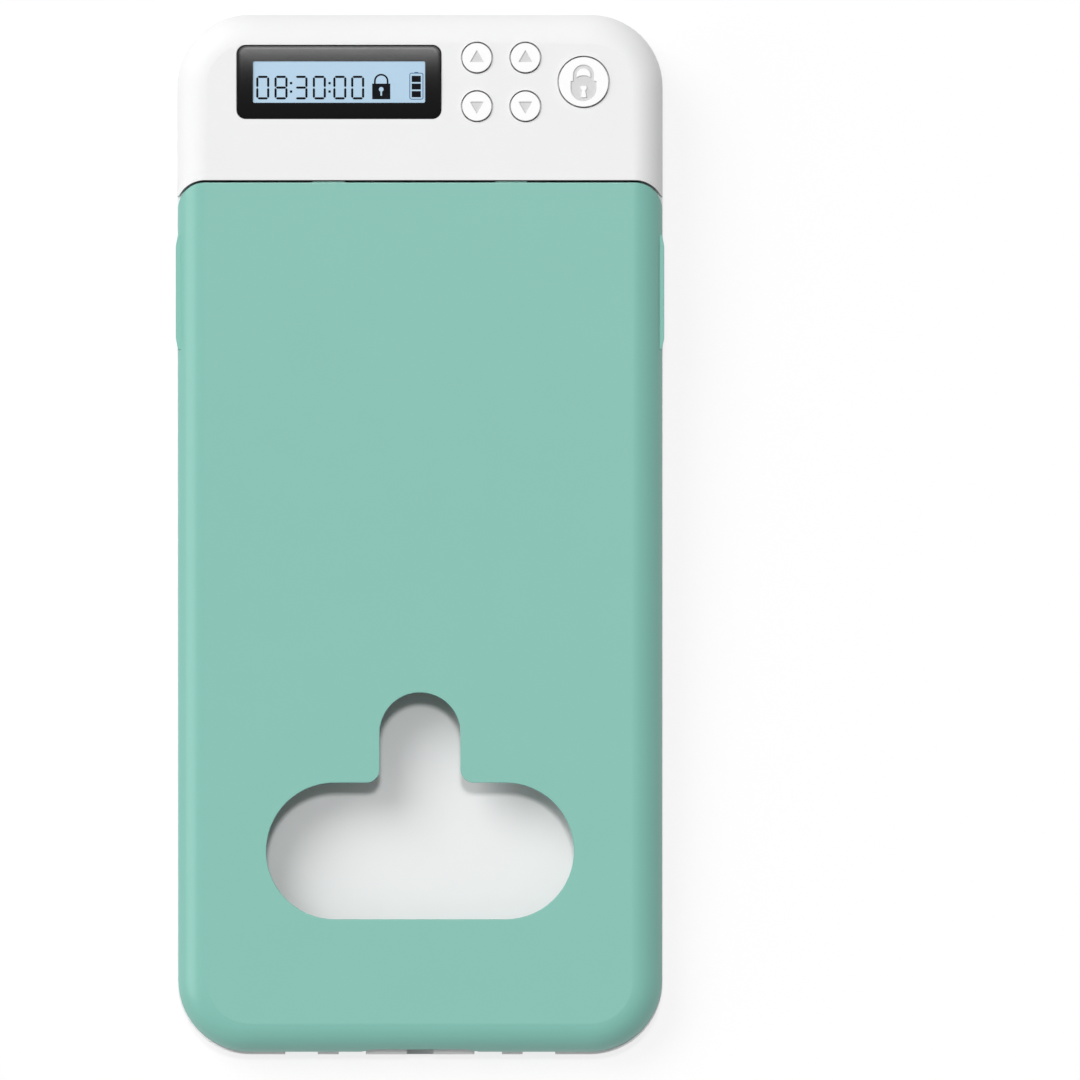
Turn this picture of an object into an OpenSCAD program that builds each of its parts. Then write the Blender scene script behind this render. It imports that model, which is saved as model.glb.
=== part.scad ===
// Timed phone lock box: a wedge-shaped tray with a hinged lid, a control head with
// a countdown display and five buttons, and a motor-driven bolt that holds the lid.
// Millimetres. X right, Y towards the control head, Z up. Origin under the middle,
// on the surface that the feet stand on. Drawn with the lid shut and the bolt drawn back.

/* [Body] */
// Overall length, rear face to front face
body_length = 220; // [210:1:240]
// Overall width of the moulding
body_width = 102.6; // [100:0.2:110]
// Corner radius seen from above
corner_r = 15.3; // [14.5:0.1:16.5]
// Length of the control head
head_length = 35; // [35:0.5:37]
// Height of the tray rim where it meets the head
rim_front = 14.6; // [14.6:0.1:16]
// Height of the tray rim at the rear face
rim_rear = 6.85; // [6.8:0.05:7.6]
// Thickness of the tray's side walls
side_wall = 3.4; // [3:0.1:4]
// Thickness of the wall between tray and head
head_wall = 2.2; // [1.8:0.1:2.2]
// Thickness of the tray floor
floor_t = 1.5; // [1.4:0.1:1.6]
// Thickness of the head's top wall
top_wall = 2; // [1.9:0.1:2.2]
// Width of the soft top edge
soft_width = 6.2; // [5:0.1:6.2]
// Depth of the soft top edge
soft_depth = 4.2; // [3.6:0.1:4.3]

/* [Lid] */
// Thickness of the lid from rim to top face
lid_height = 4.9; // [4.8:0.1:5.4]
// Thickness of the lid's flat wall
lid_skin = 1.8; // [1.6:0.1:2]
// Thickness of the lid's side walls
lid_wall = 3.4; // [3.2:0.1:4]
// Gap between the lid's free edge and the head
lid_gap = 0.5; // [0.4:0.05:0.7]
// Radius of the lid's two free corners
lid_corner_r = 5.7; // [5:0.1:7]
// How far the lid's rear edge stays inside the tray's rear face
lid_setback = 0.6; // [0.5:0.1:0.9]
// Length of each side grip
grip_length = 19.4; // [14:0.2:24]
// How far the side grips stand out
grip_proud = 0.45; // [0.3:0.05:0.6]

/* [Call window] */
// Width of the wide lower part
window_width = 65.1; // [55:0.1:72]
// Height of the wide lower part
window_height = 28.9; // [24:0.1:32]
// Width of the narrow upper stem
stem_width = 17.1; // [12:0.1:22]
// Distance from the top of the stem to the wide part
stem_height = 19.1; // [14:0.1:24]
// Centre of the wide part, from the middle of the body towards the rear
window_offset = 66.85; // [62:0.05:70]
// Radius where stem and wide part meet
stem_fillet = 2.8; // [1:0.1:4]

/* [Hinge] */
// Distance of the hinge axis from the rear face
axis_inset = 2.8; // [2.7:0.05:2.9]
// Height of the lid's rim above the hinge axis
axis_drop = 3.3; // [3.2:0.05:3.4]
// Radius of the knuckles
knuckle_r = 2.2; // [2:0.05:2.3]
// Diameter of the hinge pins
pin_d = 1.6; // [1.4:0.05:1.8]
// Half width of the centre block that holds the cable notch
hinge_core = 11.5; // [10.5:0.1:12]
// Width of the lid's inner knuckles
knuckle_inner_w = 5; // [4:0.1:5.5]
// Width of the tray's knuckles
knuckle_mid_w = 4.4; // [4:0.1:5]
// Width of the lid's outer knuckles
knuckle_outer_w = 6; // [5:0.1:7]
// Width of the cable notch
cable_notch_w = 5.6; // [4.6:0.1:7]

/* [Control panel] */
// Distance of the display bezel from the left side
bezel_inset = 12.6; // [12.2:0.1:13.4]
// Width of the display bezel
bezel_width = 15.5; // [14.8:0.1:16]
// Space between the bezel and the first column of buttons
bezel_space = 4.45; // [4.2:0.05:5]
// Distance of the control row's centre from the front face
panel_inset = 14.25; // [14:0.05:14.5]
// Border between the bezel's end and the display's clear window
view_border = 3.4; // [3:0.1:4]
// Width of the display's clear window
view_width = 8.8; // [7:0.1:9.4]
// Diameter of the four setting buttons
small_button_d = 6.2; // [6:0.1:6.6]
// Spacing of the setting buttons
button_pitch = 10.25; // [10:0.05:10.5]
// Diameter of the lock button
lock_button_d = 10.5; // [10:0.1:11]
// Distance of the lock button from the second column of buttons
lock_space = 12.3; // [12:0.1:12.8]
// Distance of the lock button from the right side
lock_inset = 16.7; // [16.2:0.1:17.2]
// How far the buttons stand out of the panel
button_proud = 0.5; // [0.3:0.05:0.8]
// Travel of the buttons
button_travel = 0.6; // [0.3:0.05:0.6]
// Gap round each button
button_gap = 0.3; // [0.25:0.05:0.4]

/* [Latch] */
// Width of the bolt
bolt_w = 4.4; // [4:0.1:4.6]
// Height of the bolt
bolt_h = 2.6; // [2.2:0.1:2.8]
// How far the bolt moves
bolt_travel = 3.6; // [3.4:0.1:3.6]
// Module of the rack and pinion
gear_module = 0.8; // [0.76:0.01:0.82]
// Thickness of the striker plate
striker_t = 1.4; // [1.2:0.1:1.5]
// Width of the striker's leg
striker_w = 7.8; // [7.6:0.1:9]

/* [Charging port] */
// Distance of the port from the right side
port_inset = 22.3; // [21.9:0.1:22.7]
// Height of the port's centre above the table
port_z = 8.2; // [8.1:0.1:8.4]

/* [Feet] */
// Diameter of the rubber feet
foot_d = 9; // [7:0.5:11]
// How far the feet stand out of the underside
foot_proud = 0.6; // [0.4:0.1:0.9]

/* [Hidden] */
$fn = 64;

// ---- colours ----
white = [0.95, 0.95, 0.95];
mint = [0.55, 0.77, 0.72];
steel = [0.72, 0.73, 0.75];
dark = [0.12, 0.12, 0.13];
grey = [0.55, 0.56, 0.58];

// ---- derived places ----
front_y = body_length / 2;
rear_y = -front_y;
half_w = body_width / 2;
wall_y = front_y - head_length;
slope = (rim_front - rim_rear) / (wall_y - rear_y);
lid_tilt = atan(slope);
base_z = foot_proud;
floor_z = base_z + floor_t;
head_top = rim_front + lid_height;
ceiling_z = head_top - top_wall;
bottom_r = 1;
rim_gap = 0.25;
front_wall = 2.4;
head_side = 3.1;

// hinge
axis_y = rear_y + axis_inset;
axis_z = rim_front - (wall_y - axis_y) * slope - axis_drop;
hinge_gap = 0.4;
notch_front = axis_y + knuckle_r + hinge_gap;
end_wall = 1.4;
tray_rear = notch_front + end_wall;
tray_r_rear = 12;
tray_r_front = 2.5;
swing_r = axis_drop - 0.1;
mid_x = hinge_core + knuckle_inner_w + 2 * hinge_gap;
outer_x = mid_x + knuckle_mid_w + hinge_gap;
hinge_half = outer_x + knuckle_outer_w + 0.5;
pin_x0 = 8;
pin_x1 = 33;
pin_bore = 0.02;
lid_bore = 0.05;

// lid
lid_half = half_w - 0.1;
lid_end = -(wall_y - rear_y - lid_setback) / cos(lid_tilt);
lid_rear_r = corner_r - 0.1;
cavity_end = 6.4;
rib_x = 19.3;
rib_w = 6.8;
rib_t = 1.7;
rib_gap = 0.15;
rib_drop = 1.2;
grip_y = -23.6;

// head
cavity_y0 = wall_y + head_wall;
cavity_y1 = front_y - front_wall;
cavity_x = half_w - head_side;
cavity_r = corner_r - head_side;
ledge = 1.1;
cover_gap = 0.2;
panel_y = front_y - panel_inset;
row_up = panel_y + button_pitch / 2;
row_down = panel_y - button_pitch / 2;
lens_t = 1.5;
lens_gap = 0.1;
lock_button_x = half_w - lock_inset;
button_x2 = lock_button_x - lock_space;
button_x = button_x2 - button_pitch;
bezel_x0 = -half_w + bezel_inset;
bezel_x1 = button_x - small_button_d / 2 - bezel_space;
bezel_x = (bezel_x0 + bezel_x1) / 2;
bezel_length = bezel_x1 - bezel_x0;
view_length = bezel_length - 2 * view_border;
lcd_inset = 1.2;
lcd_step = 0.8;
window_margin = 1;

// latch, seen from above
pinion_teeth = 8;
rack_teeth = 3;
pitch_r = gear_module * pinion_teeth / 2;
tooth_pitch = PI * gear_module;
backlash = 0.2;
rack_add = 0.35;
rack_ded = 0.85;
rack_root = tooth_pitch / 4 + rack_ded * tan(20);
pinion_add = 0.7;
pinion_root = pitch_r - rack_add - 0.15;
pinion_x = bolt_w / 2 + rack_ded + pitch_r;
pinion_y = cavity_y0 + 0.1 + bolt_travel + tooth_pitch / 2 + rack_root;
bolt_tail = pinion_y + (rack_teeth - 1.5) * tooth_pitch + rack_root;

// control board
port_x = half_w - port_inset;
port_w = 8.9;
port_h = 3.2;
port_depth = 7.6;
board_z = port_z + port_h / 2;
board_t = 1.2;
board_top = board_z + board_t;
board_y0 = bolt_tail + 0.3;
board_y1 = cavity_y1 - 1;
board_half = cavity_x - 6;
switch_h = 3;
switch_top = board_top + switch_h + 0.8;

// screws
screw_r = 1;
pilot_r = 1.03;
boss_r = 1.9;
head_r = 1.7;
head_h = 1.2;
cover_boss_r = 2.8;
cover_screw_spots = [[-half_w + 7, wall_y + 6], [half_w - 7, wall_y + 6],
    [-half_w + 7.8, front_y - 8], [half_w - 7.8, front_y - 8]];
board_screw_spots = [[-board_half + 2.6, board_y0 + 2.2], [bezel_x - 13, cavity_y1 - 2.9],
    [lock_button_x - 5.9, board_y0 + 1.5], [lock_button_x + 2.9, cavity_y1 - 3.6]];
foot_spots = [[-half_w + corner_r, rear_y + 16], [half_w - corner_r, rear_y + 16],
    [-half_w + 18.3, front_y - 13], [half_w - 18.3, front_y - 13]];

// latch, heights
slide_gap = 0.05;
plate_z = board_z - 0.5;
plate_t = 1.2;
bolt_z = plate_z + plate_t + slide_gap;
bolt_top = bolt_z + bolt_h;
bolt_nose = wall_y + 0.2;
shaft_r = 1.2;
motor_r = 3.2;
motor_length = 14;
motor_y = wall_y + 9.6;
gearbox_x0 = -bolt_w / 2 - 0.8;
gearbox_x1 = pinion_x + 9.25;
gearbox_z = floor_z + 0.4;
bracket_screw_spots = [[gearbox_x0 - 3.3, wall_y + 4.3], [gearbox_x1 + 3.8, wall_y + 4.3]];
striker_foot = 1.2;
striker_drop = 5.4;
striker_screw_x = 5;
striker_screw_y = -9;
pad_z = lid_height - lid_skin - 0.4;

// battery, between the left bosses and the bracket's screw
battery_x0 = -cavity_x + 7.2;
battery_x1 = bracket_screw_spots[0][0] - head_r - 0.4;
battery_w = 24;
battery_t = 5.6;

// ---- shared shapes ----
// What is cut from a square corner to leave a soft edge of width w and depth d
module soft_corner(x, z, w, d) {
    r = (w * w + d * d) / (2 * d);
    difference() {
        translate([x - w, z - d - 0.3]) square([w + 1, d + 1.3]);
        translate([x - w, z - r]) circle(r = r);
    }
}

// Half section from x0 to x, with a soft top edge and a rounded bottom edge
module half_section(x0, x, z0, z, w, d, foot_r) {
    difference() {
        translate([x0, z0]) square([x - x0, z - z0]);
        soft_corner(x, z, w, d);
        if (foot_r > 0)
            difference() {
                translate([x - foot_r, z0 - 1]) square([foot_r + 1, foot_r + 1]);
                translate([x - foot_r, z0 + foot_r]) circle(r = foot_r, $fn = 32);
            }
    }
}

// Rounded block with soft top edges all round
module soft_block(half, y0, y1, r, z0, z1, w, d, foot_r = 0) {
    core = half - r;
    for (side = [0, 1]) mirror([side, 0, 0])
        translate([0, y1 - r, 0]) rotate([90, 0, 0]) linear_extrude(y1 - y0 - 2 * r)
            half_section(0, half, z0, z1, w, d, foot_r);
    translate([0, y1 - r, 0]) rotate([90, 0, 90]) translate([0, 0, -core])
        linear_extrude(2 * core) half_section(0, r, z0, z1, w, d, foot_r);
    translate([0, y0 + r, 0]) mirror([0, 1, 0]) rotate([90, 0, 90]) translate([0, 0, -core])
        linear_extrude(2 * core) half_section(0, r, z0, z1, w, d, foot_r);
    for (side = [0, 1]) mirror([side, 0, 0]) {
        translate([core, y1 - r, 0]) rotate_extrude(angle = 90)
            half_section(0, r, z0, z1, w, d, foot_r);
        translate([core, y0 + r, 0]) rotate([0, 0, -90]) rotate_extrude(angle = 90)
            half_section(0, r, z0, z1, w, d, foot_r);
    }
}

// Rectangle with rounded corners, one radius for each end
module rounded_plan(half, y0, y1, r0, r1) {
    difference() {
        translate([-half, y0]) square([2 * half, y1 - y0]);
        for (side = [0, 1]) mirror([side, 0]) {
            corner_cut(half, y0, r0, 1);
            corner_cut(half, y1, r1, -1);
        }
    }
}

module corner_cut(x, y, r, inward) {
    difference() {
        translate([x - r, y - (inward > 0 ? 1 : r)]) square([r + 1, r + 1]);
        translate([x - r, y + inward * r]) circle(r = r);
    }
}

// The lid's outline towards the head, grown by a margin
module lid_plan(grow) {
    rounded_plan(lid_half + grow, rear_y - 20, wall_y - lid_gap + grow, 1,
        lid_corner_r + grow);
}

module slot_plan(length, width) {
    for (side = [-1, 1]) translate([side * (length - width) / 2, 0]) circle(d = width);
    square([length - width, width], center = true);
}

module in_lid_frame() {
    translate([0, wall_y, rim_front]) rotate([lid_tilt, 0, 0]) children();
}

module at_buttons() {
    for (x = [button_x, button_x + button_pitch], y = [row_down, row_up])
        translate([x, y, 0]) children();
}

// ---- main housing ----
module lid_space() {
    intersection() {
        union() {
            linear_extrude(head_top + 5) lid_plan(lid_gap);
            translate([-half_w - 5, rear_y - 5, 0])
                cube([body_width + 10, wall_y - rear_y - 3.3 + 5, head_top + 5]);
        }
        in_lid_frame() translate([-half_w - 10, -body_length, 0])
            cube([body_width + 20, body_length + 5, 20]);
    }
}

module head_cavity() {
    translate([0, 0, base_z - 1]) linear_extrude(ceiling_z - base_z + 1)
        rounded_plan(cavity_x, cavity_y0, cavity_y1, 2.5, cavity_r);
    translate([0, 0, base_z - 1]) linear_extrude(floor_t + 1)
        rounded_plan(cavity_x + ledge, cavity_y0 - ledge, cavity_y1 + ledge, 2.5,
            cavity_r + ledge);
}

module hinge_cuts() {
    // room for the lid to swing round the rear edge
    rotate([90, 0, 90]) translate([0, 0, -half_w - 5]) linear_extrude(body_width + 10)
        difference() {
            translate([rear_y - 1, axis_z]) square([axis_inset + 1, 20]);
            translate([axis_y, axis_z]) circle(r = swing_r);
        }
    // pockets for the lid's knuckles
    for (side = [0, 1]) mirror([side, 0, 0]) {
        translate([hinge_core, rear_y - 1, -1])
            cube([knuckle_inner_w + 2 * hinge_gap, notch_front - rear_y + 1, 20]);
        translate([outer_x - hinge_gap, rear_y - 1, -1])
            cube([hinge_half - outer_x + hinge_gap, notch_front - rear_y + 1, 20]);
        translate([pin_x0, axis_y, axis_z]) rotate([0, 90, 0])
            cylinder(r = pin_d / 2 + pin_bore, h = pin_x1 - pin_x0 + 0.1, $fn = 32);
    }
}

module panel_openings() {
    // display recess and window
    translate([bezel_x, panel_y, head_top - lens_t]) linear_extrude(lens_t + 1)
        rounded_plan(bezel_length / 2 + lens_gap, -bezel_width / 2 - lens_gap,
            bezel_width / 2 + lens_gap, 2, 2);
    translate([bezel_x, panel_y, ceiling_z - 1]) linear_extrude(top_wall + 1)
        square([view_length + 2 * window_margin, view_width + 2 * window_margin],
            center = true);
    at_buttons() translate([0, 0, ceiling_z - 1])
        cylinder(r = small_button_d / 2 + button_gap, h = top_wall + 2);
    translate([lock_button_x, panel_y, ceiling_z - 1])
        cylinder(r = lock_button_d / 2 + button_gap, h = top_wall + 2);
}

module main_housing() {
    color(white) difference() {
        union() {
            difference() {
                soft_block(half_w, rear_y, front_y, corner_r, base_z, head_top,
                    soft_width, soft_depth, bottom_r);
                lid_space();
                translate([0, 0, floor_z]) linear_extrude(head_top)
                    rounded_plan(half_w - side_wall, tray_rear, wall_y, tray_r_rear,
                        tray_r_front);
                head_cavity();
            }
            // bosses for the cover, the board and the bolt's bracket
            for (p = cover_screw_spots) translate([p[0], p[1], floor_z])
                cylinder(r = cover_boss_r, h = ceiling_z - floor_z + 0.3);
            for (p = board_screw_spots) translate([p[0], p[1], board_top])
                cylinder(r = boss_r, h = ceiling_z - board_top + 0.3);
            for (p = bracket_screw_spots) translate([p[0], p[1], plate_z + plate_t])
                cylinder(r = boss_r, h = ceiling_z - plate_z - plate_t + 0.3);
            // rib that keeps the bolt down
            translate([-bolt_w / 2 + 0.4, cavity_y0 + 0.8, bolt_top + 0.1])
                cube([bolt_w - 1.2, 8.2, ceiling_z - bolt_top + 0.2]);
        }
        hinge_cuts();
        panel_openings();
        // cable notch
        translate([-cable_notch_w / 2, rear_y - 1, floor_z + 0.5])
            cube([cable_notch_w, tray_rear - rear_y + 2, 20]);
        // slot for the bolt
        translate([-bolt_w / 2 - 0.1, wall_y - 1, bolt_z - slide_gap])
            cube([bolt_w + 0.2, head_wall + 1.5, ceiling_z - bolt_z + slide_gap]);
        // recesses in front of the lid's ribs
        for (side = [-1, 1])
            translate([side * rib_x - rib_w / 2 - 0.3, wall_y - 1, rim_front - rib_drop - 0.6])
                cube([rib_w + 0.6, 1.8, lid_height]);
        // charging port
        translate([port_x, front_y - front_wall - 1, port_z]) rotate([-90, 0, 0])
            linear_extrude(front_wall + 2) slot_plan(port_w + 0.4, port_h + 0.4);
        for (p = cover_screw_spots) translate([p[0], p[1], floor_z - 1])
            cylinder(r = pilot_r, h = 8, $fn = 32);
        for (p = board_screw_spots) translate([p[0], p[1], board_top - 1])
            cylinder(r = pilot_r, h = 6, $fn = 32);
        for (p = bracket_screw_spots) translate([p[0], p[1], board_z])
            cylinder(r = pilot_r, h = 6, $fn = 32);
        // pockets for the two rear feet
        for (i = [0, 1]) translate([foot_spots[i][0], foot_spots[i][1], 0])
            cylinder(r = foot_d / 2 + 0.1, h = base_z + 0.6);
    }
}

// ---- underside ----
module bottom_cover() {
    color(white) difference() {
        translate([0, 0, base_z]) linear_extrude(floor_t)
            rounded_plan(cavity_x + ledge - cover_gap, cavity_y0 - ledge + cover_gap,
                cavity_y1 + ledge - cover_gap, 2.3, cavity_r + ledge - cover_gap);
        for (p = cover_screw_spots) translate([p[0], p[1], 0]) {
            cylinder(r = screw_r + 0.15, h = 5, $fn = 32);
            cylinder(r = 2.2, h = base_z + 0.8);
        }
        for (i = [2, 3]) translate([foot_spots[i][0], foot_spots[i][1], 0])
            cylinder(r = foot_d / 2 + 0.1, h = base_z + 0.6);
    }
}

module rubber_feet() {
    color(dark) for (p = foot_spots) translate([p[0], p[1], 0])
        cylinder(d = foot_d, h = base_z + 0.6);
}

// Pan-head screw with a cross recess, head down, shank up from the origin
module screw(head, height, shank) {
    difference() {
        translate([0, 0, -height]) cylinder(r = head, h = height, $fn = 32);
        for (turn = [0, 90]) rotate([0, 0, turn])
            translate([-head * 0.6, -0.2, -height - 1]) cube([head * 1.2, 0.4, 1.5]);
    }
    cylinder(r = screw_r, h = shank, $fn = 32);
}

module cover_screws() {
    color(steel) for (p = cover_screw_spots) translate([p[0], p[1], base_z + 0.8])
        screw(2, 0.7, 6.5);
}

// ---- display ----
module display_lens() {
    color(dark) translate([bezel_x, panel_y, head_top - lens_t]) linear_extrude(lens_t)
        rounded_plan(bezel_length / 2, -bezel_width / 2, bezel_width / 2, 1.9, 1.9);
}

module lcd_module() {
    wide = bezel_length - 2 * lcd_inset;
    deep = bezel_width - 2 * lcd_inset;
    tall = ceiling_z - board_top - 0.2;
    color([0.62, 0.72, 0.75]) translate([bezel_x, panel_y, board_top]) {
        linear_extrude(tall / 2) square([wide, deep], center = true);
        linear_extrude(tall) square([wide - 2 * lcd_step, deep - 2 * lcd_step], center = true);
        linear_extrude(tall + 0.4)
            square([view_length + 1.4, view_width + 1.4], center = true);
    }
}

// ---- electronics ----
module control_board() {
    color([0.1, 0.35, 0.2]) difference() {
        translate([0, 0, board_z]) linear_extrude(board_t) difference() {
            translate([-board_half, board_y0])
                square([2 * board_half, board_y1 - board_y0]);
            for (p = cover_screw_spots) translate(p) circle(r = cover_boss_r + 0.4);
            for (side = [0, 1]) mirror([side, 0])
                corner_cut(cavity_x - 0.3, cavity_y1 - 0.3, cavity_r - 0.3, -1);
        }
        for (p = board_screw_spots) translate([p[0], p[1], 0])
            cylinder(r = screw_r + 0.15, h = 20, $fn = 32);
    }
}

module board_screws() {
    color(steel) for (p = board_screw_spots) translate([p[0], p[1], board_z])
        screw(head_r, head_h, 5);
}

module tact_switch(size) {
    translate([-size / 2, -size / 2, board_top]) cube([size, size, switch_h]);
    translate([0, 0, board_top + 1]) cylinder(r = 1.2, h = switch_top - board_top - 1, $fn = 32);
}

module tact_switches() {
    color(grey) {
        at_buttons() tact_switch(4.5);
        translate([lock_button_x, panel_y, 0]) tact_switch(6);
    }
}

module usb_c_receptacle() {
    color(steel) translate([port_x, front_y - 0.4, port_z]) rotate([90, 0, 0]) {
        difference() {
            linear_extrude(port_depth) slot_plan(port_w, port_h);
            translate([0, 0, -1]) linear_extrude(port_depth - 0.4)
                slot_plan(port_w - 0.6, port_h - 0.6);
        }
        translate([-port_w * 0.37, -0.35, 1]) cube([port_w * 0.74, 0.7, port_depth - 2]);
    }
}

module battery_pack() {
    length = battery_x1 - battery_x0;
    color([0.25, 0.35, 0.6]) translate([battery_x0, cavity_y0 + 2.3 + battery_w / 2,
        floor_z + battery_t / 2]) rotate([90, 0, 90]) {
        translate([0, 0, 1]) linear_extrude(length - 2) slot_plan(battery_w, battery_t);
        linear_extrude(length) square([battery_w * 0.75, battery_t * 0.57], center = true);
    }
}

// ---- latch ----
module gearbox() {
    color(grey) difference() {
        union() {
            translate([gearbox_x0, cavity_y0 + 0.4, gearbox_z])
                cube([gearbox_x1 - gearbox_x0, 10.4, plate_z - gearbox_z]);
            for (p = bracket_screw_spots) translate([p[0], p[1], plate_z - 1.6])
                cylinder(r = 1.8, h = 1.6);
            translate([bracket_screw_spots[0][0], wall_y + 2.5, plate_z - 1.6])
                cube([bracket_screw_spots[1][0] - bracket_screw_spots[0][0], 3.6, 1.6]);
        }
        for (p = bracket_screw_spots) translate([p[0], p[1], 0])
            cylinder(r = screw_r + 0.15, h = 20, $fn = 32);
        translate([pinion_x, pinion_y, plate_z - 2.6])
            cylinder(r = shaft_r + 0.05, h = 5, $fn = 32);
    }
}

module drive_motor() {
    color(steel) translate([gearbox_x1, motor_y, gearbox_z + motor_r + 0.1])
        rotate([0, 90, 0]) {
            cylinder(r = motor_r, h = motor_length);
            cylinder(r = motor_r / 2, h = motor_length + 0.8, $fn = 32);
        }
}

module latch_bracket() {
    color(steel) difference() {
        union() {
            translate([bracket_screw_spots[0][0] - 2, cavity_y0 + 0.3, plate_z])
                cube([bracket_screw_spots[1][0] - bracket_screw_spots[0][0] + 4, 3.9, plate_t]);
            translate([gearbox_x0 - 1, cavity_y0 + 0.3, plate_z])
                cube([gearbox_x1 - gearbox_x0 + 1, 10, plate_t]);
            translate([-bolt_w / 2 - 1.3, cavity_y0 + 2.4, plate_z])
                cube([1.2, 7.9, plate_t + bolt_h]);
        }
        for (p = bracket_screw_spots) translate([p[0], p[1], 0])
            cylinder(r = screw_r + 0.15, h = 20, $fn = 32);
        translate([pinion_x, pinion_y, 0]) cylinder(r = shaft_r + 0.4, h = 20, $fn = 32);
    }
}

module bracket_screws() {
    color(steel) for (p = bracket_screw_spots) translate([p[0], p[1], plate_z - 1.6])
        screw(head_r, head_h, 7);
}

// Involute tooth flank: half angle at radius rr
function inv(a) = tan(a) * 180 / PI - a;
base_r = pitch_r * cos(20);
half_tooth = (tooth_pitch / 2 - backlash) / 2 / pitch_r * 180 / PI;
function flank(rr) = half_tooth + inv(20) - (rr > base_r ? inv(acos(base_r / rr)) : 0);

module pinion_tooth() {
    radii = [pinion_root - 0.2, base_r, base_r + 0.3, base_r + 0.6, pitch_r + pinion_add];
    up = [for (i = [0:4]) radii[i] * [cos(flank(radii[i])), sin(flank(radii[i]))]];
    down = [for (i = [4:-1:0]) radii[i] * [cos(flank(radii[i])), -sin(flank(radii[i]))]];
    polygon(concat(up, down));
}

module drive_pinion() {
    color(white) translate([pinion_x, pinion_y, 0]) {
        translate([0, 0, bolt_z]) linear_extrude(bolt_h - 0.3) {
            circle(r = pinion_root);
            for (i = [0:pinion_teeth - 1]) rotate(180 + i * 360 / pinion_teeth) pinion_tooth();
        }
        translate([0, 0, plate_z - 2.4]) cylinder(r = shaft_r, h = bolt_top - plate_z + 2.8);
    }
}

module latch_bolt() {
    half_top = tooth_pitch / 4 - rack_add * tan(20);
    color(steel) translate([0, 0, bolt_z]) linear_extrude(bolt_h) {
        polygon([[-bolt_w / 2, bolt_nose + 0.8], [-bolt_w / 2 + 0.8, bolt_nose],
            [bolt_w / 2 - 0.8, bolt_nose], [bolt_w / 2, bolt_nose + 0.8],
            [bolt_w / 2, bolt_tail], [-bolt_w / 2, bolt_tail]]);
        for (i = [0:rack_teeth - 1])
            translate([bolt_w / 2, pinion_y + (i - 0.5) * tooth_pitch])
                polygon([[-0.5, -rack_root], [0, -rack_root], [rack_ded + rack_add, -half_top],
                    [rack_ded + rack_add, half_top], [0, rack_root], [-0.5, rack_root]]);
    }
}

// ---- lid ----
module call_window() {
    translate([0, -window_offset, 0]) {
        slot_plan(window_width, window_height);
        translate([-stem_width / 2, 0])
            square([stem_width, window_height / 2 + stem_height - stem_width / 2]);
        translate([0, window_height / 2 + stem_height - stem_width / 2])
            circle(d = stem_width);
        for (side = [0, 1]) mirror([side, 0])
            translate([stem_width / 2 - 0.1, window_height / 2 - 0.1]) difference() {
                square([stem_fillet + 0.1, stem_fillet + 0.1]);
                translate([stem_fillet + 0.1, stem_fillet + 0.1]) circle(r = stem_fillet);
            }
    }
}

module grip() {
    half = grip_length / 2;
    taper = 2.4;
    translate([lid_half, grip_y, rim_gap]) linear_extrude(1.5)
        polygon([[-1, -half - taper], [0, -half - taper], [grip_proud, -half],
            [grip_proud, half], [0, half + taper], [-1, half + taper]]);
}

module lid() {
    color(mint) difference() {
        union() {
            difference() {
                intersection() {
                    in_lid_frame() soft_block(lid_half, lid_end, 40, lid_rear_r, rim_gap,
                        lid_height, soft_width, soft_depth);
                    linear_extrude(head_top + 5) lid_plan(0);
                }
                // hollow underside
                in_lid_frame() translate([0, 0, -5])
                    linear_extrude(lid_height - lid_skin + 5)
                        rounded_plan(lid_half - lid_wall, lid_end + cavity_end, 10,
                            lid_rear_r - lid_wall, 1);
            }
            in_lid_frame() {
                for (side = [0, 1]) mirror([side, 0, 0]) grip();
                for (side = [-1, 1])
                    translate([side * striker_screw_x, striker_screw_y, pad_z])
                        cylinder(r = 2.4, h = 0.6);
            }
            // ribs at the free edge
            for (side = [-1, 1])
                translate([side * rib_x - rib_w / 2, wall_y - rib_gap - rib_t,
                    rim_front - rib_drop])
                    cube([rib_w, rib_t, rib_drop + lid_height - lid_skin + 0.2]);
            // knuckles and their arms
            for (side = [0, 1]) mirror([side, 0, 0]) {
                lid_knuckle(hinge_core + hinge_gap, knuckle_inner_w);
                lid_knuckle(outer_x, knuckle_outer_w);
            }
        }
        for (side = [0, 1]) mirror([side, 0, 0]) translate([pin_x0, axis_y, axis_z])
            rotate([0, 90, 0]) cylinder(r = pin_d / 2 + lid_bore, h = pin_x1 - pin_x0, $fn = 32);
        linear_extrude(head_top + 5) call_window();
        // shallow recess over the cable notch
        linear_extrude(head_top + 5) translate([0, rear_y + lid_setback])
            polygon([[-12.4, -1], [-12.4, 0], [-9.6, 0.5], [9.6, 0.5], [12.4, 0], [12.4, -1]]);
        in_lid_frame() for (side = [-1, 1])
            translate([side * striker_screw_x, striker_screw_y, 0])
                cylinder(r = pilot_r, h = lid_height - 0.6, $fn = 32);
    }
}

module lid_knuckle(x, w) {
    translate([x, axis_y, axis_z]) rotate([0, 90, 0]) cylinder(r = knuckle_r, h = w);
    translate([x, axis_y - 2, axis_z]) cube([w, 4, axis_drop + rim_gap + 0.35]);
}

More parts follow.
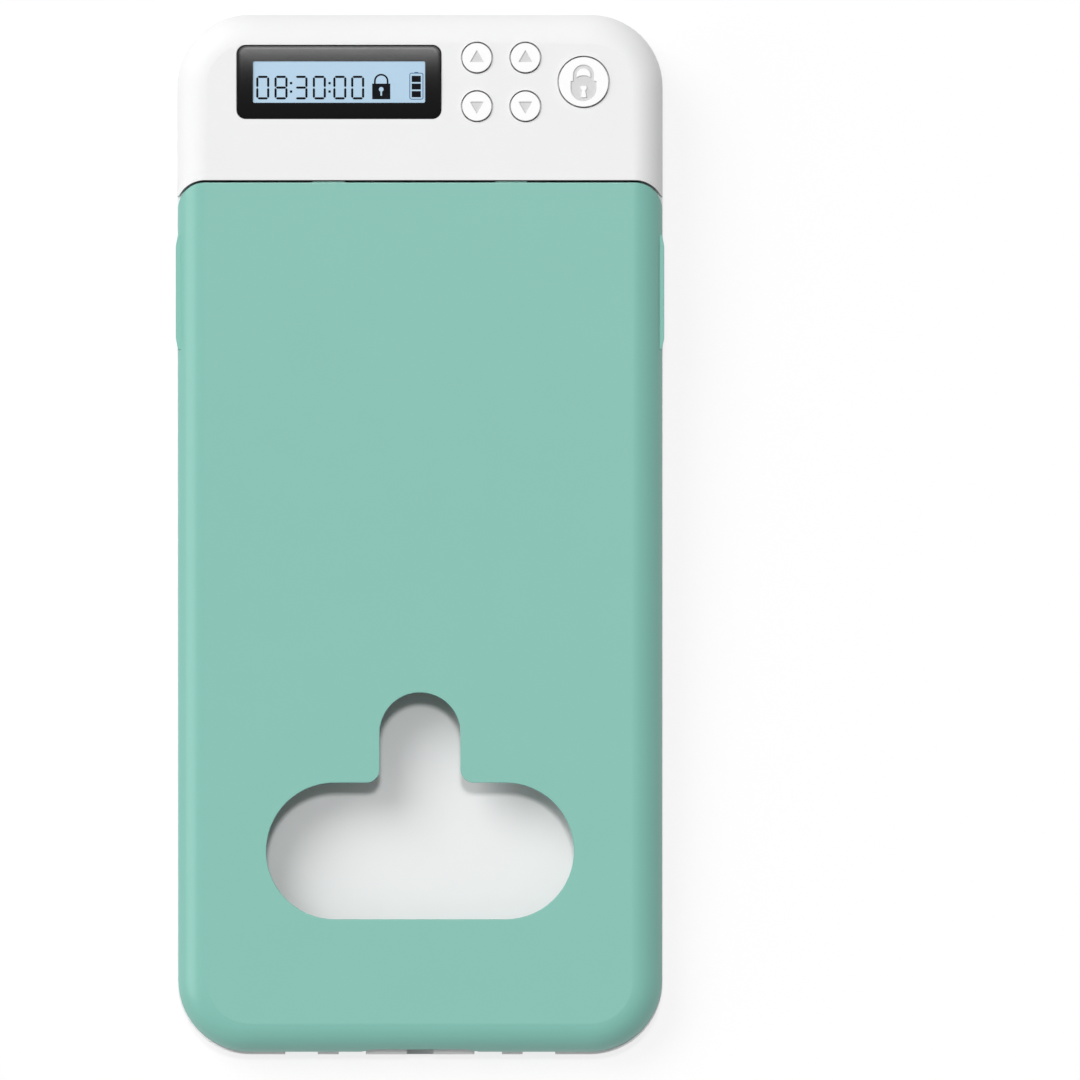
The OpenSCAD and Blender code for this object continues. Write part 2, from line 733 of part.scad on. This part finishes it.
module striker() {
    color(steel) in_lid_frame() difference() {
        union() {
            translate([-striker_screw_x - 3, striker_screw_y - 3, pad_z - striker_foot])
                cube([2 * striker_screw_x + 6, 1.4 - striker_screw_y, striker_foot]);
            translate([-striker_w / 2, -1.6 - striker_t, -striker_drop])
                cube([striker_w, striker_t, striker_drop + pad_z]);
        }
        translate([-bolt_w / 2 - 0.7, -5, 1 - striker_drop])
            cube([bolt_w + 1.4, 5, bolt_h + 0.7]);
        for (side = [-1, 1]) translate([side * striker_screw_x, striker_screw_y, 0])
            cylinder(r = screw_r + 0.15, h = 5, $fn = 32);
    }
}

module striker_screws() {
    color(steel) in_lid_frame() for (side = [-1, 1])
        translate([side * striker_screw_x, striker_screw_y, pad_z - striker_foot])
            screw(head_r, head_h, 2.7);
}

module hinge_pins() {
    color(steel) for (side = [0, 1]) mirror([side, 0, 0])
        translate([pin_x0, axis_y, axis_z]) rotate([0, 90, 0])
            cylinder(d = pin_d, h = pin_x1 - pin_x0, $fn = 32);
}

// ---- buttons ----
module button(d, stem_gap) {
    difference() {
        union() {
            translate([0, 0, ceiling_z - 0.3])
                cylinder(d = d, h = head_top + button_proud - ceiling_z + 0.3);
            translate([0, 0, ceiling_z - 1.2]) cylinder(d = d + 1.8, h = 1.1);
            translate([0, 0, switch_top + stem_gap])
                cylinder(r = 1.5, h = ceiling_z - 1 - switch_top - stem_gap, $fn = 32);
        }
        translate([0, 0, head_top + button_proud - 0.2]) linear_extrude(1) children();
    }
}

module arrow(up) {
    polygon([[-1.4, -up * 0.9], [1.4, -up * 0.9], [0, up * 1.55]]);
}

module padlock() {
    // body with its keyhole left standing
    difference() {
        union() {
            translate([0, -1.35]) circle(r = 2.7);
            translate([-2.7, -1.35]) square([5.4, 1.5]);
        }
        translate([0, -1.25]) circle(r = 0.7, $fn = 32);
        polygon([[-0.3, -1.5], [0.3, -1.5], [0.65, -3.3], [-0.65, -3.3]]);
    }
    // shackle
    translate([0, 1.4]) difference() {
        union() {
            circle(r = 2.2);
            translate([-2.2, -1.4]) square([4.4, 1.4]);
        }
        circle(r = 1.5);
        translate([-1.5, -1.25]) square([3, 1.25]);
    }
}

module setting_button(x, y, up) {
    color(white) translate([x, y, 0]) button(small_button_d, button_travel + 0.1) arrow(up);
}

module left_up_button() {
    setting_button(button_x, row_up, 1);
}

module left_down_button() {
    setting_button(button_x, row_down, -1);
}

module right_up_button() {
    setting_button(button_x + button_pitch, row_up, 1);
}

module right_down_button() {
    setting_button(button_x + button_pitch, row_down, -1);
}

module lock_button() {
    color(white) translate([lock_button_x, panel_y, 0])
        button(lock_button_d, button_travel + 0.1) padlock();
}

main_housing();
bottom_cover();
rubber_feet();
cover_screws();
display_lens();
lcd_module();
control_board();
board_screws();
tact_switches();
usb_c_receptacle();
battery_pack();
gearbox();
drive_motor();
drive_pinion();
latch_bolt();
latch_bracket();
bracket_screws();
lid();
striker();
striker_screws();
hinge_pins();
left_up_button();
left_down_button();
right_up_button();
right_down_button();
lock_button();
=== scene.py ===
"""The looks of a timed lock container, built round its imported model.

Blender works in metres. Sizes and places are written in millimetres and are turned into
metres where a mesh, a material or the camera takes them.
"""

import math

import bmesh
import bpy
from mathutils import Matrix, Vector


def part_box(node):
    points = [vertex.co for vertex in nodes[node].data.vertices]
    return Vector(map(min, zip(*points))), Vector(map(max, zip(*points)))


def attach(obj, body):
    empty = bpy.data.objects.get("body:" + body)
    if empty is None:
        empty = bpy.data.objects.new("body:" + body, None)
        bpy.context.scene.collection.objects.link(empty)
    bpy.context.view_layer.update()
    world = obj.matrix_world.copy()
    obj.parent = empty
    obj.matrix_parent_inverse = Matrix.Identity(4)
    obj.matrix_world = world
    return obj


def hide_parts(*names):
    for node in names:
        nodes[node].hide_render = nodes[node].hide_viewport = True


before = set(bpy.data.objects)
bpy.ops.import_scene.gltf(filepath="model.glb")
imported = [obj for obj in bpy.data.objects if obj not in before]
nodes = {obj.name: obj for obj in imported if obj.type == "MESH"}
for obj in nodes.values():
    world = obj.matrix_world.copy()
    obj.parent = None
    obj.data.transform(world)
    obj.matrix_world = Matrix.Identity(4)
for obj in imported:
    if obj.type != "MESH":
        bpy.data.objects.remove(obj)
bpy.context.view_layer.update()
MM = 0.001


# ---------------------------------------------------------------- materials
class Shader:
    """A Principled material with short names for the nodes that drive it."""

    def __init__(self, name):
        self.material = bpy.data.materials.new(name)
        self.material.use_nodes = True
        self.tree = self.material.node_tree
        self.bsdf = next(n for n in self.tree.nodes if n.type == "BSDF_PRINCIPLED")
        self.coords = self.node("ShaderNodeTexCoord").outputs["Object"]

    def node(self, kind, **inputs):
        node = self.tree.nodes.new(kind)
        for key, value in inputs.items():
            self.put(node, key.replace("_", " "), value)
        return node

    def put(self, node, key, value):
        """Give an input, named or numbered, a plain value or another node's output."""
        if isinstance(value, bpy.types.NodeSocket):
            self.tree.links.new(value, node.inputs[key])
        else:
            node.inputs[key].default_value = value

    def set(self, **inputs):
        for key, value in inputs.items():
            self.put(self.bsdf, key.replace("_", " "), value)

    def noise(self, scale, detail=2.0, stretch=None):
        vector = self.coords
        if stretch:
            mapping = self.node("ShaderNodeMapping", Vector=vector)
            mapping.inputs["Scale"].default_value = stretch
            vector = mapping.outputs[0]
        noise = self.node("ShaderNodeTexNoise", Vector=vector, Scale=scale, Detail=detail)
        return noise.outputs["Fac"]

    def spread(self, noise, low, high):
        """Stretch the middle of a noise's range to run from low to high."""
        node = self.node("ShaderNodeMapRange", Value=noise)
        for key, value in (("From Min", 0.3), ("From Max", 0.7), ("To Min", low), ("To Max", high)):
            node.inputs[key].default_value = value
        return node.outputs["Result"]

    def work_out(self, operation, a, b=0.0):
        node = self.tree.nodes.new("ShaderNodeMath")
        node.operation = operation
        self.put(node, 0, a)
        self.put(node, 1, b)
        return node.outputs[0]

    def mix(self, factor, a, b):
        """Mix two colours, each a triple or another node's output."""
        node = self.tree.nodes.new("ShaderNodeMix")
        node.data_type = "RGBA"
        self.put(node, 0, factor)
        for index, colour in ((6, a), (7, b)):
            self.put(node, index, (*colour, 1) if isinstance(colour, tuple) else colour)
        return node.outputs[2]

    def bumps(self, *layers, edge=0.0):
        """Stacked bumps, each (height, strength, distance in metres), on an edge rounded by a radius."""
        normal = None
        if edge:
            bevel = self.node("ShaderNodeBevel", Radius=edge)
            bevel.samples = 4
            normal = bevel.outputs[0]
        for height, strength, distance in layers:
            bump = self.node("ShaderNodeBump", Height=height, Strength=strength, Distance=distance)
            if normal:
                self.put(bump, "Normal", normal)
            normal = bump.outputs[0]
        self.set(Normal=normal)


# Noise scales, from the coarsest to the finest
CLOUDS, WAVES, SMUDGES, GRAIN, BRUSHING = 90, 260, 700, 2400, 2600
COLOUR_DRIFT = 0.015


def tint(colour, share):
    return tuple(c * share for c in colour)


def grey(level):
    return (level,) * 3


def plastic(name, colour, rough, edge=0.15, grain=1.0, specular=0.5, vary=0.03):
    """Moulded plastic. grain is the share of its surface relief, vary the drift of its roughness."""
    s = Shader(name)
    pale, deep = tint(colour, 1 + COLOUR_DRIFT), tint(colour, 1 - COLOUR_DRIFT)
    s.set(Base_Color=s.mix(s.noise(CLOUDS, 3), deep, pale))
    s.set(Roughness=s.spread(s.noise(SMUDGES, 2), rough - vary, rough + vary))
    s.set(Specular_IOR_Level=specular)
    s.bumps(
        (s.noise(GRAIN, 1), 0.2 * grain, 0.02 * MM),
        (s.noise(WAVES, 2), 0.05 * grain, 0.05 * MM),
        edge=edge * MM,
    )
    return s


def display_paint(name, colour, rough, specular, vary=0.03):
    """Smooth paint with no relief and no rounded edge."""
    return plastic(name, colour, rough, edge=0.0, grain=0.0, specular=specular, vary=vary)


def metal(name, colour, rough, stretch=(1, 1, 1), edge=0.05):
    s = Shader(name)
    lines = s.noise(BRUSHING, 3, stretch)
    s.set(Base_Color=s.mix(lines, tint(colour, 0.9), colour), Metallic=1.0)
    s.set(Roughness=s.spread(lines, rough - 0.08, rough + 0.08))
    s.bumps((lines, 0.12, 0.02 * MM), edge=edge * MM)
    return s


shell = plastic("shell_white", (0.83, 0.83, 0.832), 0.5, grain=0.4, specular=0.35)
lid_plastic = plastic(
    "lid_plastic", (0.194, 0.481, 0.408), 0.28, edge=0.3, grain=0.08, specular=0.65, vary=0.006
)
grey_plastic = plastic("moulded_grey", (0.2, 0.2, 0.215), 0.5, edge=0.1, grain=1.6)
nylon = plastic("nylon", (0.8, 0.78, 0.72), 0.45, edge=0.05)
rubber = plastic("rubber", (0.035, 0.035, 0.037), 0.8, edge=0.3, grain=3.0, specular=0.3)
steel = metal("brushed_steel", (0.62, 0.62, 0.64), 0.32, stretch=(0.08, 1, 1))
plated = metal("plated_steel", (0.7, 0.7, 0.72), 0.24)
gold = metal("gold_contact", (0.9, 0.66, 0.28), 0.25, edge=0.0)
board_mask = plastic("solder_mask", (0.01, 0.12, 0.045), 0.3, edge=0.0, grain=0.6)
wrap = plastic("battery_wrap", (0.06, 0.12, 0.36), 0.3, edge=0.2, grain=0.8)

black_gloss = display_paint("bezel_black", (0.0013, 0.0013, 0.0017), 0.21, 0.095, vary=0.004)
panel_paint = display_paint("lcd_panel", grey(0.5), 0.12, 0.4)
panel_paint.set(
    Base_Color=panel_paint.mix(panel_paint.noise(60, 1), (0.43, 0.61, 0.77), (0.49, 0.67, 0.82))
)
segment_ink = display_paint("lcd_ink", (0.002, 0.003, 0.006), 0.14, 0.08)
outline_ink = display_paint("lcd_outline", (0.04, 0.12, 0.25), 0.14, 0.3)

# How far a button's sign reaches from its middle, and how deep below the top the paint starts
SMALL_SIGN_REACH, LOCK_SIGN_REACH = 2.6, 4.7
SIGN_DEPTH = 0.12


def button_material(node, reach):
    """White cap whose pressed-in sign is filled with grey."""
    low, high = (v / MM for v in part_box(node))
    middle = (low + high) / 2
    s = plastic("cap_" + node, grey(0.9), 0.4, edge=0.22)
    place = s.node("ShaderNodeSeparateXYZ", Vector=s.coords).outputs
    dx = s.work_out("SUBTRACT", place["X"], middle.x * MM)
    dy = s.work_out("SUBTRACT", place["Y"], middle.y * MM)
    squares = s.work_out("ADD", s.work_out("MULTIPLY", dx, dx), s.work_out("MULTIPLY", dy, dy))
    near = s.work_out("LESS_THAN", s.work_out("SQRT", squares), reach * MM)
    deep = s.work_out("LESS_THAN", place["Z"], (high.z - SIGN_DEPTH) * MM)
    plain = s.mix(s.noise(CLOUDS, 3), grey(0.885), grey(0.91))
    painted = s.mix(s.noise(1500, 2), grey(0.56), grey(0.64))
    s.set(Base_Color=s.mix(s.work_out("MULTIPLY", near, deep), plain, painted))
    return s


def dress(node, shader):
    mesh = nodes[node].data
    mesh.materials.clear()
    mesh.materials.append(shader.material)
    for face in mesh.polygons:
        face.material_index = 0


FINISHES = (
    (shell, ("main_housing", "bottom_cover")),
    (steel, ("cover_screws", "board_screws", "bracket_screws", "striker_screws", "hinge_pins",
             "striker", "latch_bolt", "latch_bracket")),
    (plated, ("usb_c_receptacle", "drive_motor")),
    (grey_plastic, ("tact_switches", "gearbox", "lcd_module")),
    (rubber, ("rubber_feet",)),
    (lid_plastic, ("lid",)),
    (nylon, ("drive_pinion",)),
    (board_mask, ("control_board",)),
    (wrap, ("battery_pack",)),
)
SETTING_BUTTONS = [f"{side}_{way}_button" for side in ("left", "right") for way in ("up", "down")]

for finish, names in FINISHES:
    for name in names:
        dress(name, finish)
for name in SETTING_BUTTONS:
    dress(name, button_material(name, SMALL_SIGN_REACH))
dress("lock_button", button_material("lock_button", LOCK_SIGN_REACH))


# ---------------------------------------------------------------- shapes, in millimetres
def finish_piece(bm, name, shader, body="housing", smooth=True):
    bmesh.ops.recalc_face_normals(bm, faces=bm.faces)
    mesh = bpy.data.meshes.new(name)
    bm.to_mesh(mesh)
    bm.free()
    mesh.materials.append(shader.material)
    piece = bpy.data.objects.new(name, mesh)
    bpy.context.scene.collection.objects.link(piece)
    if smooth:
        mesh.shade_smooth()
        mesh.set_sharp_from_angle(angle=math.radians(35))
    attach(piece, body)
    return piece


def rect(x0, x1, y0, y1):
    return [(x0, y0), (x1, y0), (x1, y1), (x0, y1)]


def arc(r, degrees):
    """Points round the origin, one for each angle."""
    return [(r * math.cos(a), r * math.sin(a)) for a in map(math.radians, degrees)]


def shift(points, dx, dy):
    return [(x + dx, y + dy) for x, y in points]


def between(loop_a, loop_b, share):
    """Loop that lies a share of the way from one loop to another."""
    return [(ax + (bx - ax) * share, ay + (by - ay) * share)
            for (ax, ay), (bx, by) in zip(loop_a, loop_b)]


def rounded_loop(cx, cy, half_x, half_y, r, steps=10, along=1):
    """Rectangle with round corners, each straight side in a number of equal lengths."""
    points = []
    for quarter, (sx, sy) in enumerate(((1, 1), (-1, 1), (-1, -1), (1, -1))):
        turn = [90 * (quarter + i / steps) for i in range(steps + 1)]
        points += shift(arc(r, turn), cx + sx * (half_x - r), cy + sy * (half_y - r))
    divided = []
    for i, (x, y) in enumerate(points):
        divided.append((x, y))
        if i % (steps + 1) == steps:
            next_x, next_y = points[(i + 1) % len(points)]
            divided += [(x + (next_x - x) * part / along, y + (next_y - y) * part / along)
                        for part in range(1, along)]
    return divided


def flat(points, z):
    return [(x, y, z) for x, y in points]


def loft(bm, loops, closed=False):
    """Quads between loops of the same number of points."""
    rings = [[bm.verts.new(Vector(point) * MM) for point in loop] for loop in loops]
    pairs = list(zip(rings, rings[1:])) + ([(rings[-1], rings[0])] if closed else [])
    for a, b in pairs:
        for i in range(len(a)):
            j = (i + 1) % len(a)
            bm.faces.new((a[i], a[j], b[j], b[i]))
    return rings


def slab(bm, outline, z0, z1):
    """Closed plate of an outline."""
    low, high = loft(bm, [flat(outline, z) for z in (z0, z1)])
    bm.faces.new(low[::-1])
    bm.faces.new(high)


# ---------------------------------------------------------------- display: bezel and panel
lens_low, lens_high = (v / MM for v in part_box("display_lens"))
lens = (lens_low + lens_high) / 2
lens_half = (lens_high - lens_low) / 2

BEZEL_CORNER, BEZEL_EDGE, EDGE_STEPS = 1.9, 0.12, 5
WINDOW_HALF_X, WINDOW_HALF_Y, WINDOW_CORNER, WINDOW_EDGE = 18.2, 4.4, 0.35, 0.06
SIDE_PARTS = 14
CROWN = 0.32
PANEL_SINK = 0.35
peak_z = lens_high.z + CROWN
panel_z = peak_z - PANEL_SINK


def crowned(points, drop=0.0):
    """Put points on the bezel's top, a shallow arch from its front edge to its rear edge."""
    return [(x, y, peak_z - drop - CROWN * ((y - lens.y) / lens_half.y) ** 2) for x, y in points]


def bezel_loop(inset):
    return rounded_loop(lens.x, lens.y, lens_half.x - inset, lens_half.y - inset,
                        BEZEL_CORNER - inset, along=SIDE_PARTS)


def window_loop(grow):
    return rounded_loop(lens.x, lens.y, WINDOW_HALF_X + grow, WINDOW_HALF_Y + grow,
                        WINDOW_CORNER + grow, along=SIDE_PARTS)


def display_bezel():
    """Frame with an arched top, a rounded outer edge and a bevelled window."""
    bm = bmesh.new()
    turns = [math.radians(90 * i / EDGE_STEPS) for i in range(EDGE_STEPS + 1)]
    edge = [crowned(bezel_loop(BEZEL_EDGE * (1 - math.cos(a))), BEZEL_EDGE * (1 - math.sin(a)))
            for a in turns]
    top = [crowned(between(bezel_loop(BEZEL_EDGE), window_loop(WINDOW_EDGE), share))
           for share in (0.25, 0.5, 0.75, 1)]
    foot = flat(bezel_loop(0), lens_low.z)
    window = [crowned(window_loop(0), WINDOW_EDGE), flat(window_loop(0), lens_low.z)]
    loft(bm, [foot, *edge, *top, *window], closed=True)
    bezel = finish_piece(bm, "display_bezel", black_gloss)
    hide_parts("display_lens")


def lcd_panel():
    bm = bmesh.new()
    slab(bm, window_loop(0), lens_low.z, panel_z)
    finish_piece(bm, "lcd_panel", panel_paint)


display_bezel()
lcd_panel()

# ---------------------------------------------------------------- display: signs
# Their places are measured from the display's middle. Each sign's foot is sunk in the panel.
INK_SINK, INK_RISE = 0.02, 0.03
ink_foot = panel_z - INK_SINK
ink_top = panel_z + INK_RISE


def ink(bm, outline):
    slab(bm, shift(outline, lens.x, lens.y), ink_foot, ink_top)


def ink_ring(bm, outer, inner):
    """Sign with a hole, between two outlines of the same number of points."""
    outer, inner = (shift(outline, lens.x, lens.y) for outline in (outer, inner))
    loft(bm, [flat(outer, ink_foot), flat(outer, ink_top), flat(inner, ink_top),
              flat(inner, ink_foot)], closed=True)


# A plain time in digits of seven segments
TIME = "083000"
SEGMENTS = {"0": "abcdef", "3": "abcdg", "8": "abcdefg"}
DIGIT_W, DIGIT_H, STROKE, SEGMENT_GAP = 2.76, 5.0, 0.46, 0.07
DIGIT_X = (-17.5, -13.64, -9.42, -5.54, -1.21, 2.56)
DIGIT_Y = -3.69
COLON_X = (-10.14, -2.0)
COLON_Y = (-2.03, -0.25)
DOT_HALF, DOT_CORNER = 0.25, 0.1


def bar(x0, y0, x1, y1):
    """Level or upright stroke with pointed ends."""
    h = STROKE / 2
    if y0 == y1:
        return [(x0, y0), (x0 + h, y0 - h), (x1 - h, y0 - h),
                (x1, y0), (x1 - h, y0 + h), (x0 + h, y0 + h)]
    return [(x0, y0), (x0 + h, y0 + h), (x0 + h, y1 - h),
            (x0, y1), (x0 - h, y1 - h), (x0 - h, y0 + h)]


def segment(letter, x, y):
    """Ends of a lettered segment of the digit whose lower left corner is at x, y."""
    h, gap = STROKE / 2, SEGMENT_GAP
    left, right = x + h, x + DIGIT_W - h
    low, middle, high = y + h, y + DIGIT_H / 2, y + DIGIT_H - h
    return {
        "a": (left + gap, high, right - gap, high),
        "b": (right, middle + gap, right, high - gap),
        "c": (right, low + gap, right, middle - gap),
        "d": (left + gap, low, right - gap, low),
        "e": (left, low + gap, left, middle - gap),
        "f": (left, middle + gap, left, high - gap),
        "g": (left + gap, middle, right - gap, middle),
    }[letter]


def lcd_digits():
    bm = bmesh.new()
    for x, digit in zip(DIGIT_X, TIME):
        for letter in SEGMENTS[digit]:
            ink(bm, bar(*segment(letter, x, DIGIT_Y)))
    for x in COLON_X:
        for y in COLON_Y:
            ink(bm, rounded_loop(x, y, DOT_HALF, DOT_HALF, DOT_CORNER, steps=3))
    finish_piece(bm, "lcd_digits", segment_ink, smooth=False)


# The padlock, measured from the middle of its keyhole
PADLOCK_X, PADLOCK_Y = 8.92, -1.55
BODY_HALF, BODY_TOP, BODY_FOOT = 1.91, 1.2, -2.1
KEY_R, KEY_HALF, KEY_FOOT = 0.5, 0.17, -1.35
SHACKLE_R, SHACKLE_T, SHACKLE_Y = 1.53, 0.36, 1.74


def on_body(angle):
    """The point of the body's square edge in a direction from the keyhole."""
    dx, dy = math.cos(angle), math.sin(angle)
    to_side = BODY_HALF / abs(dx) if dx else math.inf
    to_end = (BODY_TOP if dy > 0 else BODY_FOOT) / dy if dy else math.inf
    reach = min(to_side, to_end)
    return dx * reach, dy * reach


def on_keyhole(angle):
    """The point of the keyhole's edge in a direction: its round top, its slot's side or foot."""
    dx, dy = math.cos(angle), math.sin(angle)
    reach = KEY_R
    if dy < 0 and abs(dx) * KEY_FOOT / dy < KEY_HALF:
        reach = KEY_FOOT / dy
    elif dy < 0 and abs(dx) * KEY_R < KEY_HALF:
        reach = KEY_HALF / abs(dx)
    return dx * reach, dy * reach


def lcd_padlock():
    bm = bmesh.new()
    corners = arc(KEY_R, range(-70, 251, 20))
    corners += [(-KEY_HALF, KEY_FOOT), (KEY_HALF, KEY_FOOT)]
    corners += rect(-BODY_HALF, BODY_HALF, BODY_FOOT, BODY_TOP)
    angles = sorted({math.atan2(y, x) for x, y in corners})
    body, keyhole = ([edge(a) for a in angles] for edge in (on_body, on_keyhole))
    ink_ring(bm, shift(body, PADLOCK_X, PADLOCK_Y), shift(keyhole, PADLOCK_X, PADLOCK_Y))

    inner_r = SHACKLE_R - SHACKLE_T
    half_turn = range(0, 181, 12)
    shackle = [(SHACKLE_R, BODY_TOP), *shift(arc(SHACKLE_R, half_turn), 0, SHACKLE_Y),
               (-SHACKLE_R, BODY_TOP), (-inner_r, BODY_TOP),
               *shift(arc(inner_r, half_turn[::-1]), 0, SHACKLE_Y), (inner_r, BODY_TOP)]
    ink(bm, shift(shackle, PADLOCK_X, PADLOCK_Y))
    finish_piece(bm, "lcd_padlock", segment_ink, smooth=False)


# The battery sign: three cells in an outline with a nub on top
CELL_X = (15.36, 17.29)
CELL_Y = ((-3.23, -1.93), (-1.59, -0.35), (-0.01, 1.3))
CASE_X, CASE_Y, CASE_HALF_X, CASE_HALF_Y, CASE_CORNER, CASE_LINE = 16.35, -0.89, 1.47, 2.83, 0.45, 0.16
NUB_X, NUB_Y = (15.95, 16.75), (1.94, 2.1)


def lcd_battery():
    bm = bmesh.new()
    for cell_y in CELL_Y:
        ink(bm, rect(*CELL_X, *cell_y))
    finish_piece(bm, "lcd_cells", segment_ink, smooth=False)

    bm = bmesh.new()
    outer, inner = (
        rounded_loop(CASE_X, CASE_Y, CASE_HALF_X - inset, CASE_HALF_Y - inset, CASE_CORNER - inset, 6)
        for inset in (0, CASE_LINE)
    )
    ink_ring(bm, outer, inner)
    ink(bm, rect(*NUB_X, *NUB_Y))
    finish_piece(bm, "lcd_battery", outline_ink, smooth=False)


lcd_digits()
lcd_padlock()
lcd_battery()

# ---------------------------------------------------------------- charging port contacts
port_low, port_high = (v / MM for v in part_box("usb_c_receptacle"))
port = (port_low + port_high) / 2
CONTACTS, CONTACT_PITCH, CONTACT_W, CONTACT_T = 12, 0.5, 0.26, 0.06
# How far each row lies off the port's middle, and its ends behind the port's mouth
ROW_OFFSET, ROW_DEEP, ROW_NEAR = 0.35, 5.6, 1.6


def port_contacts():
    bm = bmesh.new()
    for row_z in (port.z - ROW_OFFSET, port.z + ROW_OFFSET):
        for i in range(CONTACTS):
            x = port.x + (i - (CONTACTS - 1) / 2) * CONTACT_PITCH
            outline = rect(x - CONTACT_W / 2, x + CONTACT_W / 2,
                           port_high.y - ROW_DEEP, port_high.y - ROW_NEAR)
            slab(bm, outline, row_z - CONTACT_T / 2, row_z + CONTACT_T / 2)
    finish_piece(bm, "port_contacts", gold, smooth=False)


port_contacts()

# ---------------------------------------------------------------- floor and light
# The floor lies just under the feet. Its shadows are thinned where it is seen.
FLOOR_REACH = 40000
FLOOR_Z = -0.05
FLOOR_ALBEDO = 0.78
SHADOW_SHARE = 0.22
SKY = 0.22


def seen_share(tree):
    """1 for rays from the camera, a mirror or glass, and 0 for the rays that carry light."""
    path = tree.nodes.new("ShaderNodeLightPath")
    total = path.outputs["Is Camera Ray"]
    for name in ("Is Glossy Ray", "Is Transmission Ray"):
        add = tree.nodes.new("ShaderNodeMath")
        add.operation = "ADD"
        add.use_clamp = True
        tree.links.new(total, add.inputs[0])
        tree.links.new(path.outputs[name], add.inputs[1])
        total = add.outputs[0]
    return total


def white_floor():
    shader = Shader("floor_white")
    seen = seen_share(shader.tree)
    shader.set(
        Base_Color=shader.mix(seen, grey(FLOOR_ALBEDO), grey(SHADOW_SHARE)),
        Roughness=0.9,
        Specular_IOR_Level=0.0,
        Emission_Color=shader.mix(seen, grey(0.0), grey(1 - SHADOW_SHARE)),
        Emission_Strength=1.0,
    )
    mesh = bpy.data.meshes.new("floor")
    corners = flat(rect(-FLOOR_REACH, FLOOR_REACH, -FLOOR_REACH, FLOOR_REACH), FLOOR_Z)
    mesh.from_pydata([Vector(corner) * MM for corner in corners], [], [(0, 1, 2, 3)])
    mesh.materials.append(shader.material)
    floor = bpy.data.objects.new("floor", mesh)
    bpy.context.scene.collection.objects.link(floor)


def white_studio():
    """White where it is seen, and a soft grey light everywhere else."""
    world = bpy.data.worlds.new("studio")
    bpy.context.scene.world = world
    world.use_nodes = True
    tree = world.node_tree
    sky = next(n for n in tree.nodes if n.type == "BACKGROUND")
    sky.inputs["Color"].default_value = (1, 1, 1, 1)
    level = tree.nodes.new("ShaderNodeMapRange")
    level.inputs["To Min"].default_value = SKY
    level.inputs["To Max"].default_value = 1.0
    tree.links.new(seen_share(tree), level.inputs["Value"])
    tree.links.new(level.outputs["Result"], sky.inputs["Strength"])


def sun(name, towards, strength, degrees):
    """Sun lamp that stands in a direction and looks so many degrees wide."""
    light = bpy.data.lights.new(name, "SUN")
    light.energy = strength
    light.angle = math.radians(degrees)
    lamp = bpy.data.objects.new(name, light)
    bpy.context.scene.collection.objects.link(lamp)
    lamp.rotation_mode = "QUATERNION"
    lamp.rotation_quaternion = Vector(towards).to_track_quat("Z", "Y")


white_floor()
white_studio()
sun("key", (-0.48, 0.5, 0.72), 1.6, 36)
sun("top", (0.0, 0.21, 0.978), 1.1, 6)
sun("side", (-0.9, -0.03, 0.44), 0.52, 40)

# ---------------------------------------------------------------- camera
# The photograph is a straight top view. ORIGIN is the pixel that shows the frame's origin,
# and SCALE, in millimetres a pixel, holds at the height SCALE_Z.
PHOTO_PIXELS = 1080
ORIGIN_X, ORIGIN_Y = 420, 535
SCALE = 0.2115
SCALE_Z = 15
LENS, SENSOR = 1000, 36


def top_camera():
    data = bpy.data.cameras.new("camera")
    data.lens = LENS
    data.sensor_width = SENSOR
    data.clip_start = 0.1
    data.clip_end = 50
    camera = bpy.data.objects.new("camera", data)
    bpy.context.scene.collection.objects.link(camera)
    distance = PHOTO_PIXELS * SCALE * LENS / SENSOR
    x = (PHOTO_PIXELS / 2 - ORIGIN_X) * SCALE
    y = (ORIGIN_Y - PHOTO_PIXELS / 2) * SCALE
    camera.location = Vector((x, y, SCALE_Z + distance)) * MM
    bpy.context.scene.camera = camera
    bpy.context.scene.view_settings.view_transform = "Standard"


top_camera()
